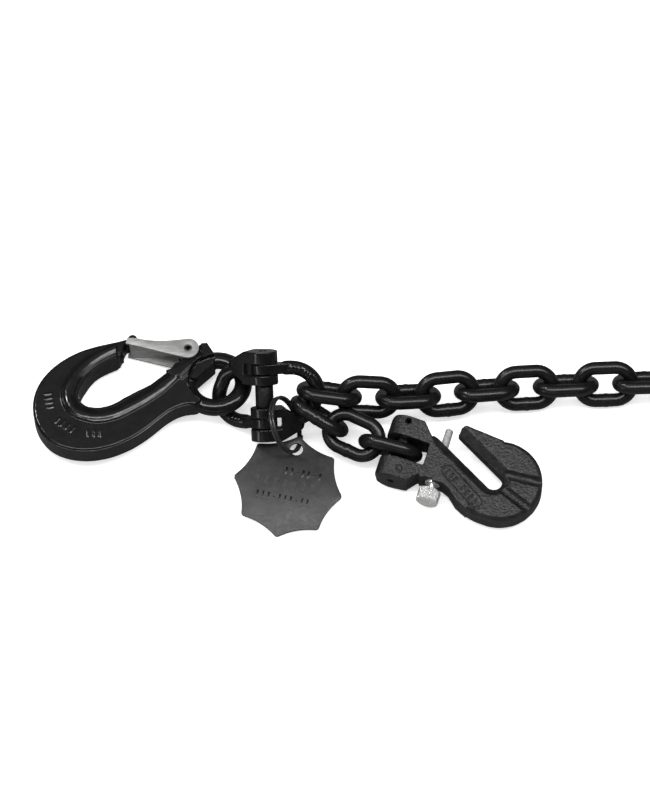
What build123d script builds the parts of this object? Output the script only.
from build123d import *
from math import cos, radians, sin
import os

os.makedirs("parts", exist_ok=True)

# Millimetres. X runs along the chain away from the sling hook, Y runs across the table, Z is up.
# Placements are worked out from a datum below the coupling link's load pin, then moved together by
# DATUM, so that the finished part's origin is the middle of its footprint on the table.
DATUM = (-66.54, 30.16, 0.27)

# ---- chain: 8 mm round steel link, 24 mm pitch
WIRE_D = 8.0
PITCH = 24.0
LINK_WIDTH = 28.3
LINK_LENGTH = PITCH + 2 * WIRE_D
WELD_D = 8.7
WELD_LENGTH = 3.0
MAIN_STEP = 23.9                      # rest distance between neighbouring contact points
BRANCH_STEP = 23.7
BEND_R = (LINK_WIDTH - WIRE_D) / 2    # centre line of the link's round end
HALF_STRAIGHT = LINK_LENGTH / 2 - WIRE_D / 2 - BEND_R

MAIN_START = (26.9, -9.0, 24.7)       # contact point between the coupling and the first main link
MAIN_HEADINGS = (-3.0, 0.8, 6.1, 8.3, 6.9, 4.9, 3.2, 2.5, 1.9, 1.6)
MAIN_DROPS = (9.7, 7.6, 4.7, 3.6, 3.6, 2.5, 0.6, 0.0, 0.0, 0.0)
MAIN_ROLLS = (-45.7, 57.0, -41.0) + (45.0, -45.0) * 3 + (45.0,)

BRANCH_START = (22.8, -16.0, 19.0)    # contact point between the coupling and the first branch link
BRANCH_HEADINGS = (-31.3, -26.7, -16.2)
BRANCH_DROPS = (10.5, 0.8, 2.1)
BRANCH_ROLLS = (-55.7, 25.7, 107.7)

# ---- coupling link: two forged halves on one load pin
LOAD_PIN_R = 4.25
LOAD_PIN_HALF = 24.4
BORE_R = 4.32
LUG_R = 8.75
TONGUE_R = 7.3
TONGUE = (13.2, 19.5)                 # along the pin
FORK_GAP = (12.9, 19.8)
FORK = (7.0, 27.2)
FORK_CROTCH = 9.8
HALF_BAR_R = 4.4
CROWN_REACH = 31.9                    # bar centre line, from the pin axis
KNOCK_OUT_R = 2.15
BUSH_R = 5.4
BUSH_HALF = 6.7
BUSH_BORE_R = 4.33
RING_GROOVE_R = 3.75

# ---- sling hook
EYE_R = 16.6                          # centre line of the eye
EYE_BAR_R = 5.3
HOOK_WEB = 14.6                       # thickness of the flat body
BEAD_HALF_WIDTH = 6.2
BEAD_HALF_HEIGHT = 8.4
NOSE_THICKNESS = 12.8
NOSE_HORN = (-50.2, 30.2)             # round end of the nose, beside the latch tip
NOSE_HORN_R = 3.0
NECK_LOBE = ((-30.0, 6.0), (-14.0, 12.0), (-8.3, 17.5), (-9.8, 24.5), (-5.0, 24.8), (0.0, 16.0),
             (-11.0, 10.0), (-20.0, 0.0))
EYE_WEDGE = ((-1.0, 15.0), (-0.6, 11.6), (-11.6, 0.8), (-15.0, 1.0), (-11.0, 11.0))
PIVOT = (-16.5, 21.1)
PIVOT_LUG_R = 6.6
PIVOT_LUG_THICKNESS = 13.2
SPRING_SLOT = 6.0

# ---- safety latch
LATCH_WIDTH = 16.8
LATCH_SHEET = 1.3
LATCH_PIN_R = 2.4
LATCH_PIN_BORE_R = 1.4
LATCH_HOLE_R = 2.46
LATCH_SPRING_WIRE_R = 0.6

# ---- grab hook
PIN_EARS = (7.0, 20.0)                # from the hook's middle plane to the ears' end faces
CLEVIS_CROTCH = 14.3                  # bottom of the gap between the ears, from the pin axis
EAR_R = 10.6
GRAB_THICKNESS = 15.6
GRAB_BOWL = (62.7, -2.8)
GRAB_BOWL_R = 25.8
GRAB_SLOT_END = (59.3, -3.1)
GRAB_SLOT_WIDTH = 10.0
GRAB_SLOT_ANGLE = 150.0               # from the closed end of the slot to its mouth
SLOT_LIP = 5.8                        # height of the square wall between the slot's two bevels
SLOT_TAPER = 48.0                     # of the bevels, from upright
GROOVES = (((64.0, 1.8), 3.0), ((64.5, -7.0), -22.0))   # start and direction, beside the bowl's rib
GROOVE_R = 3.0
GROOVE_DEPTH = 2.4
CLEVIS_PIN_R = 4.5
CLEVIS_BORE_R = 4.57
CLEVIS_PIN_SPAN = (-16.6, 19.4)
ROLL_PIN_R = 1.75
ROLL_PIN_LENGTH = 17.5
ROLL_PIN_BORE_R = 0.9
ROLL_PIN_Y = 16.7                     # through the ear at the open end of the clevis bore

# ---- spring-loaded lock pin of the grab hook
LOCK_X = 24.3
LOCK_TIP = 22.2
LOCK_PIN_R = 2.4
LOCK_GUIDE_R = 2.47
LOCK_COLLAR_R = 4.3
LOCK_COLLAR = (6.3, 8.3)
LOCK_BORE_R = 4.5
LOCK_BORE_TOP = 8.4
LOCK_FLOOR = -14.8
LOCK_BUSH_LENGTH = 4.0
LOCK_TRAVEL = 12.5
KNOB_R = 6.8
KNOB = (-27.0, -18.4)
LOCK_SPRING_WIRE_R = 0.55
LOCK_SPRING_R = 3.6
LOCK_SPRING_TURNS = 4.5

# ---- tag and its split ring
TAG_POINT_R = 33.5
TAG_VALLEY_R = 28.8
TAG_POINTS = 8
TAG_THICKNESS = 1.6
TAG_HOLE_R = 3.95
TAG_HOLE_OFFSET = 24.6
RING_R = 16.8
RING_WIRE_R = 1.0

BASE = (Align.CENTER, Align.CENTER, Align.MIN)


def rod(start, direction, radius, length):
    """A cylinder that starts at a point and runs along a direction."""
    return Plane(origin=start, z_dir=direction) * Cylinder(radius, length, align=BASE)


def save(shape, name):
    """Write one named piece as a single solid."""
    solids = (Pos(*DATUM) * shape).solids()
    export_step(max(solids, key=lambda s: s.volume), f"parts/{name}.step")


def ring_arc(center, radius, wire_r, start, sweep_angle):
    """Round bar bent on an arc about Z; start and sweep_angle are in degrees."""
    section = Plane(origin=(radius, 0, 0), x_dir=(1, 0, 0), z_dir=(0, 1, 0)) * Circle(wire_r)
    return Pos(*center) * Rot(0, 0, start) * revolve(section, axis=Axis.Z, revolution_arc=sweep_angle)


# ---------------------------------------------------------------- chain
def chain_link(weld_side):
    """Welded link: long axis X, width Y; the weld is on the bar at +Y or -Y."""
    body = ring_arc((HALF_STRAIGHT, 0, 0), BEND_R, WIRE_D / 2, -90, 180)
    body += ring_arc((-HALF_STRAIGHT, 0, 0), BEND_R, WIRE_D / 2, 90, 180)
    for side in (-1, 1):
        body += rod((-HALF_STRAIGHT, side * BEND_R, 0), (1, 0, 0), WIRE_D / 2, 2 * HALF_STRAIGHT)
    return body + rod((-WELD_LENGTH / 2, weld_side * BEND_R, 0), (1, 0, 0), WELD_D / 2, WELD_LENGTH)


def lay_chain(start, step, headings, drops, rolls):
    """Location of every link of a run, from its contact points and roll angles."""
    point = Vector(*start)
    places = []
    for heading, drop, roll in zip(headings, drops, rolls):
        turned = Rot(0, 0, heading) * Rot(0, drop, 0) * Rot(roll, 0, 0)
        following = (Pos(*point) * turned * Pos(step, 0, 0)).position
        places.append(Pos(*((point + following) / 2)) * turned)
        point = following
    return places


MAIN_PLACES = lay_chain(MAIN_START, MAIN_STEP, MAIN_HEADINGS, MAIN_DROPS, MAIN_ROLLS)
BRANCH_PLACES = lay_chain(BRANCH_START, BRANCH_STEP, BRANCH_HEADINGS, BRANCH_DROPS, BRANCH_ROLLS)

# ---------------------------------------------------------------- coupling link
COUPLING = Plane(origin=(-0.2, -11.9, 24.2), x_dir=(1, 0.03, 0.02), z_dir=(0.012, -0.6, 0.8)).location
LEAN_HOOK_SIDE = 31.5                 # each half leans down about the load pin
LEAN_CHAIN_SIDE = 2.0
CHAIN_SIDE = COUPLING * Rot(0, LEAN_CHAIN_SIDE, 0)
HOOK_SIDE = COUPLING * Rot(0, 0, 180) * Rot(0, LEAN_HOOK_SIDE, 0)


def pear(big_r, small_r, reach):
    """Two circles and their tangents, seen along the load pin."""
    sketch = Circle(big_r) + Pos(reach, 0) * Circle(small_r)
    return make_hull(sketch.edges())


def along_pin(profile, low, high):
    """Extrude a profile drawn across the load pin from low to high along it (the local Y axis)."""
    plane = Plane(origin=(0, low, 0), x_dir=(1, 0, 0), z_dir=(0, 1, 0))
    return extrude(plane * profile, high - low)


def coupling_half(blind):
    """One half: tongue on +Y, fork on -Y, crown on +X; the load pin lies on the Y axis."""
    middle = (TONGUE[0] + TONGUE[1]) / 2
    path = Spline(
        (13.5, middle), (20.5, 15.7), (27.8, 11.4), (CROWN_REACH, 2.0), (28.8, -7.4), (17, -15.6),
        tangents=((1, 0), (-1, -0.35)),
    )
    bar = sweep(Plane(origin=(13.5, middle, 0), z_dir=(1, 0, 0)) * Circle(HALF_BAR_R), path=path)
    bar += Pos(13.5, middle, 0) * Sphere(HALF_BAR_R) + Pos(17, -15.6, 0) * Sphere(HALF_BAR_R)
    fork_outline = make_face(Polyline(
        (-LUG_R, -FORK[0]), (10.5, -FORK[0]), (13.5, -9.6), (18.5, -12.0), (23.0, -13.5), (24.5, -17.5),
        (22.4, -20.8), (10.0, -FORK[1]), (-LUG_R, -FORK[1]), close=True))
    fork = extrude(fork_outline, LUG_R, both=True)
    fork &= along_pin(pear(LUG_R, HALF_BAR_R, 19.0), -FORK[1], -FORK[0])
    gap_low, gap_high = -FORK_GAP[1], -FORK_GAP[0]
    fork -= Pos((FORK_CROTCH - LUG_R - 1) / 2, (gap_low + gap_high) / 2, 0) * Box(
        FORK_CROTCH + LUG_R + 1, gap_high - gap_low, 2 * LUG_R + 2)
    tongue = along_pin(pear(TONGUE_R, HALF_BAR_R - 0.4, 14.5), *TONGUE)
    half = bar + fork + tongue
    bore_end = LOAD_PIN_HALF + 0.3 if blind else FORK[1] + 1
    half -= along_pin(Circle(BORE_R), -bore_end, FORK[1])
    return half - along_pin(Circle(KNOCK_OUT_R), -FORK[1] - 1, 0)


def coupling_bush():
    tube = Circle(BUSH_R) - Circle(BUSH_BORE_R)
    return along_pin(tube, -BUSH_HALF, BUSH_HALF) - retaining_groove()


def retaining_groove():
    """Annular space for the retaining ring: half in the pin, half in the bush."""
    return along_pin(Circle(BUSH_BORE_R + 0.45) - Circle(RING_GROOVE_R), -0.75, 0.75)


def load_pin():
    body = along_pin(Circle(LOAD_PIN_R), -LOAD_PIN_HALF, LOAD_PIN_HALF)
    body = chamfer(body.edges().filter_by(GeomType.CIRCLE), 0.8)
    return body - retaining_groove()


def retaining_ring():
    """Spring wire ring with a gap; it snaps into the groove of the pin."""
    turn = along_pin(Circle(BUSH_BORE_R + 0.4) - Circle(RING_GROOVE_R + 0.03), -0.68, 0.68)
    return turn - Pos(4, 0, 0) * Box(3.0, 3.0, 3.0)


# ---------------------------------------------------------------- sling hook
HOOK = Pos(-29.4, 1.4, 14.0) * Rot(-3.9, 0, 0) * Rot(0, -3.4, 0)


def sling_outline():
    """Flat body of the hook seen from above, eye at the origin."""
    edges = Spline(
        (-48.4, 32.0), (-58.0, 29.0), (-77.2, 24.3), (-96.8, 12.8), (-108.3, -5.0), (-108.6, -24.6),
        (-98.6, -41.2), (-77.0, -48.4), (-58.0, -44.6), (-38.8, -32.4), (-25.0, -21.0), (-13.0, -18.0),
    )
    edges += Polyline((-13.0, -18.0), (-8.0, -14.0), (-8.0, 14.0), (-4.6, 22.5), (-9.5, 21.5), (-12.0, 17.5),
                      (-24.0, 12.0), (-27.5, 6.5), (-38.8, -3.0), (-55.1, -12.0))
    edges += Spline((-55.1, -12.0), (-64.0, -17.0), (-72.0, -18.1), (-79.5, -15.2), (-82.2, -8.5),
                    (-79.2, 0.2), (-72.5, 9.2), (-64.0, 14.4), (-58.2, 17.0))
    edges += Polyline((-58.2, 17.0), (-54.8, 26.4), (-48.4, 32.0))
    return make_face(edges)


def bead_path():
    """Centre line of the rounded bead that backs the inside of the bowl."""
    return Spline(
        (-20.5, 8.0), (-35.5, -7.5), (-52.0, -18.6), (-62.0, -23.4), (-72.5, -24.6), (-84.3, -19.4),
        (-88.6, -8.5), (-84.4, 4.4), (-75.5, 14.6), (-64.5, 21.6), (-57.5, 24.6),
    )


def sling_hook():
    body = extrude(sling_outline(), HOOK_WEB / 2, both=True)
    rim = [e for e in body.edges() if e.length > 60 and abs(e.center().Z) > 1 and e.center().Y < -10]
    body = chamfer(rim, 1.4)
    path = bead_path()
    section = Plane(origin=path @ 0, z_dir=path % 0, x_dir=(0, 0, 1)) * Ellipse(BEAD_HALF_HEIGHT, BEAD_HALF_WIDTH)
    body += sweep(section, path=path)
    body += Pos(*NOSE_HORN, 0) * Cylinder(NOSE_HORN_R, 2 * BEAD_HALF_HEIGHT)
    nose_zone = Pos(-52.0, 27.0, 0) * Box(15.0, 24.0, 40.0)
    body -= nose_zone - Pos(-52.0, 27.0, 0) * Box(16.0, 26.0, NOSE_THICKNESS)
    body += extrude(make_face(Polyline(*NECK_LOBE, close=True)), BEAD_HALF_HEIGHT, both=True)
    body -= Cylinder(EYE_R, 40)
    body += Pos(*PIVOT, 0) * Cylinder(PIVOT_LUG_R, PIVOT_LUG_THICKNESS)
    body += ring_arc((0, 0, 0), EYE_R, EYE_BAR_R, 0, 360)
    body += extrude(make_face(Polyline(*EYE_WEDGE, close=True)), HOOK_WEB / 2, both=True)
    latch_zone = Pos(*PIVOT, 0) * Cylinder(PIVOT_LUG_R + 1.4, 40)
    body -= latch_zone - Pos(*PIVOT, 0) * Cylinder(PIVOT_LUG_R + 2, PIVOT_LUG_THICKNESS)
    body -= Pos(*PIVOT, 0) * Cylinder(LATCH_HOLE_R, 40)
    return body - Pos(*PIVOT, 0) * Cylinder(PIVOT_LUG_R + 0.6, SPRING_SLOT)


def latch():
    """Folded sheet channel: two cheeks and a web on the outer side."""
    cheek = make_face(
        Polyline((-53.9, 25.8), (-53.2, 29.6), (-46.5, 29.0))
        + Spline((-46.5, 29.0), (-38.8, 27.3), (-29.2, 26.8), (-19.0, 27.5))
        + Line((-19.0, 27.5), (-16.5, 27.8))
        + ThreePointArc((-16.5, 27.8), (-10.2, 19.0), (-18.6, 14.7))
        + Line((-18.6, 14.7), (-53.9, 25.8)))
    body = Pos(0, 0, -LATCH_WIDTH / 2) * extrude(cheek, LATCH_WIDTH)
    inside = Pos(0, 0, -LATCH_WIDTH / 2 + LATCH_SHEET) * extrude(cheek, LATCH_WIDTH - 2 * LATCH_SHEET)
    web_zone = Pos(-37.7, 26.5 - LATCH_SHEET / 2, 0) * Box(28.4, LATCH_SHEET + 1.0, LATCH_WIDTH)
    body -= inside - web_zone
    return body - Pos(*PIVOT, 0) * Cylinder(LATCH_HOLE_R, 40)


def latch_pin():
    """Slotted spring pin."""
    tube = Cylinder(LATCH_PIN_R, LATCH_WIDTH + 0.6) - Cylinder(LATCH_PIN_BORE_R, 40)
    return Pos(*PIVOT, 0) * (tube - Pos(LATCH_PIN_R, 0, 0) * Box(2 * LATCH_PIN_R, 0.6, 40))


def latch_spring():
    """Torsion spring coiled round the latch pin, one leg under the latch web."""
    coil_r = 3.4
    height = 3.9
    coil = sweep(
        Plane(origin=(coil_r, 0, 0), z_dir=(0, 1, 0.25)) * Circle(LATCH_SPRING_WIRE_R),
        path=Helix(pitch=height / 2.5, height=height, radius=coil_r), is_frenet=True)
    coil = Pos(*PIVOT, -height / 2) * coil
    leg = rod((PIVOT[0] - coil_r, PIVOT[1], height / 2), (-0.97, 0.18, 0), LATCH_SPRING_WIRE_R, 12)
    return coil + leg


# ---------------------------------------------------------------- tag
def split_ring():
    """Two flat coils of round wire, lying on each other."""
    low = ring_arc((0, 0, -RING_WIRE_R * 0.92), RING_R, RING_WIRE_R, 0, 360)
    return low + ring_arc((0, 0, RING_WIRE_R * 0.92), RING_R, RING_WIRE_R, 0, 360)


def tag():
    """Eight-pointed tag with hollow sides; the hole is towards the first point."""
    step = 360 / TAG_POINTS
    edges = None
    for i in range(TAG_POINTS):
        tip, valley, following = (
            (r * cos(radians(a)), r * sin(radians(a)))
            for r, a in ((TAG_POINT_R, i * step), (TAG_VALLEY_R, (i + 0.5) * step), (TAG_POINT_R, (i + 1) * step)))
        side = ThreePointArc(tip, valley, following)
        edges = side if edges is None else edges + side
    plate = extrude(make_face(edges), TAG_THICKNESS / 2, both=True)
    plate = fillet(plate.edges().filter_by(Axis.Z), 2.2)
    return plate - Pos(TAG_HOLE_OFFSET, 0, 0) * Cylinder(TAG_HOLE_R, 10)


# ---------------------------------------------------------------- grab hook
GRAB = Pos(81.2, -44.15, 13.15) * Rot(0, 0, -17.0) * Rot(0, 2.0, 0) * Rot(5, 0, 0)


def slot_point(distance, offset):
    """Point measured from the closed end of the grab slot, along it and to its left."""
    a = radians(GRAB_SLOT_ANGLE)
    return (GRAB_SLOT_END[0] + distance * cos(a) - offset * sin(a),
            GRAB_SLOT_END[1] + distance * sin(a) + offset * cos(a))


def grab_hook():
    """Clevis on the Y axis at the origin, slot towards +X."""
    low, high = PIN_EARS
    outline = make_face(Polyline(
        (30.6, 20.0), (31.2, 23.4), (33.6, 25.4), (58.0, 22.6), GRAB_BOWL, (48.6, -26.4), (41.2, -22.8),
        (35.2, -17.0),
        (30.5, LOCK_FLOOR), (18.0, LOCK_FLOOR), (16.0, -16.5), (16.0, 16.5), (21.0, 14.2), (26.0, 12.6), close=True))
    bowl = Cylinder(GRAB_BOWL_R, GRAB_THICKNESS)
    bowl = chamfer(bowl.edges().filter_by(GeomType.CIRCLE), 2.0)
    body = extrude(outline, GRAB_THICKNESS / 2, both=True) + Pos(*GRAB_BOWL, 0) * bowl
    slot = Pos(*slot_point(45, 0), 0) * Rot(0, 0, GRAB_SLOT_ANGLE) * SlotCenterToCenter(90, GRAB_SLOT_WIDTH)
    body -= extrude(slot, 20, both=True)
    bevel = Pos(0, 0, SLOT_LIP / 2) * extrude(slot, GRAB_THICKNESS / 2, taper=-SLOT_TAPER)
    body -= bevel
    body -= mirror(bevel, Plane.XY)
    for start, direction in GROOVES:
        for side in (-1, 1):
            body -= rod((*start, side * (GRAB_THICKNESS / 2 + GROOVE_R - GROOVE_DEPTH)),
                        (cos(radians(direction)), sin(radians(direction)), 0), GROOVE_R, 40)
    for side in (-1, 1):
        ear = make_face(Polyline((-EAR_R, side * low), (21, side * low), (13.5, side * 15.4), (9.5, side * high),
                                 (2 - EAR_R, side * high), (-EAR_R, side * (high - 2)), close=True))
        ear = extrude(ear, GRAB_THICKNESS, both=True)
        body += ear & along_pin(pear(EAR_R, GRAB_THICKNESS / 2, 17.0), -high, high)
    body -= Pos(CLEVIS_CROTCH - 13, 0, 0) * Box(26, 2 * low, 30)
    body -= along_pin(Circle(CLEVIS_BORE_R), CLEVIS_PIN_SPAN[0] - 0.2, high + 1)
    body -= along_pin(Circle(KNOCK_OUT_R), -high - 1, 0)
    body -= Pos(0, ROLL_PIN_Y, 0) * Cylinder(ROLL_PIN_R, 40)
    body -= Pos(LOCK_X, 0, 0) * along_pin(Circle(LOCK_GUIDE_R), LOCK_FLOOR - 1, 40)
    body -= Pos(LOCK_X, 0, 0) * along_pin(Circle(LOCK_BORE_R), LOCK_FLOOR - 3, LOCK_BORE_TOP)
    return body


def clevis_pin():
    body = along_pin(Circle(CLEVIS_PIN_R), *CLEVIS_PIN_SPAN)
    body = chamfer(body.edges().filter_by(GeomType.CIRCLE), 0.8)
    return body - Pos(0, ROLL_PIN_Y, 0) * Cylinder(ROLL_PIN_R, 40)


def clevis_roll_pin():
    tube = Cylinder(ROLL_PIN_R, ROLL_PIN_LENGTH) - Cylinder(ROLL_PIN_BORE_R, 2 * ROLL_PIN_LENGTH)
    return Pos(0, ROLL_PIN_Y, 0) * tube


def lock_bush():
    tube = Circle(LOCK_BORE_R) - Circle(LOCK_GUIDE_R)
    return Pos(LOCK_X, 0, 0) * along_pin(tube, LOCK_FLOOR, LOCK_FLOOR + LOCK_BUSH_LENGTH)


def lock_pin():
    shaft = along_pin(Circle(LOCK_PIN_R), KNOB[0] - 0.6, LOCK_TIP)
    shaft = chamfer(shaft.edges().filter_by(GeomType.CIRCLE), 0.6)
    return Pos(LOCK_X, 0, 0) * (shaft + along_pin(Circle(LOCK_COLLAR_R), *LOCK_COLLAR))


def lock_knob():
    """Knurled sleeve pressed and riveted on the lock pin."""
    grip = along_pin(Circle(KNOB_R), *KNOB)
    grip = chamfer(grip.edges().filter_by(GeomType.CIRCLE), 0.9)
    return Pos(LOCK_X, 0, 0) * (grip - along_pin(Circle(LOCK_PIN_R), -60, 60))


def lock_spring():
    low = LOCK_FLOOR + LOCK_BUSH_LENGTH + LOCK_SPRING_WIRE_R
    height = LOCK_COLLAR[0] - LOCK_SPRING_WIRE_R - low - 0.1
    coil = sweep(
        Plane(origin=(LOCK_SPRING_R, 0, 0), z_dir=(0, 1, 0.2)) * Circle(LOCK_SPRING_WIRE_R),
        path=Helix(pitch=height / LOCK_SPRING_TURNS, height=height, radius=LOCK_SPRING_R), is_frenet=True)
    return Pos(LOCK_X, low, 0) * Rot(-90, 0, 0) * coil


# ---------------------------------------------------------------- the assembly
TAG = Pos(19.0, -39.0, 6.2) * Rot(5, 0, 0) * Rot(0, 0, 78.0) * Pos(-TAG_HOLE_OFFSET, 0, 0)
RING = Plane(origin=(12.6, -27.9, 17.0), z_dir=(0.861, 0, 0.509)).location

for number, place in enumerate(MAIN_PLACES, start=1):
    save(place * chain_link(1 if number % 2 else -1), f"chain_link_{number:02d}")
for number, place in enumerate(BRANCH_PLACES, start=1):
    save(place * chain_link(-1), f"branch_link_{number}")

PIECES = {
    "coupling_half_hook_side": HOOK_SIDE * coupling_half(blind=True),
    "coupling_half_chain_side": CHAIN_SIDE * coupling_half(blind=False),
    "coupling_pin": COUPLING * load_pin(),
    "coupling_bush": COUPLING * coupling_bush(),
    "coupling_retaining_ring": COUPLING * retaining_ring(),
    "sling_hook": HOOK * sling_hook(),
    "hook_latch": HOOK * latch(),
    "latch_pin": HOOK * latch_pin(),
    "latch_spring": HOOK * latch_spring(),
    "tag_ring": RING * split_ring(),
    "tag": TAG * tag(),
    "grab_hook": GRAB * grab_hook(),
    "clevis_pin": GRAB * clevis_pin(),
    "clevis_roll_pin": GRAB * clevis_roll_pin(),
    "lock_bush": GRAB * lock_bush(),
    "lock_pin": GRAB * lock_pin(),
    "lock_knob": GRAB * lock_knob(),
    "lock_spring": GRAB * lock_spring(),
}
for name, piece in PIECES.items():
    save(piece, name)
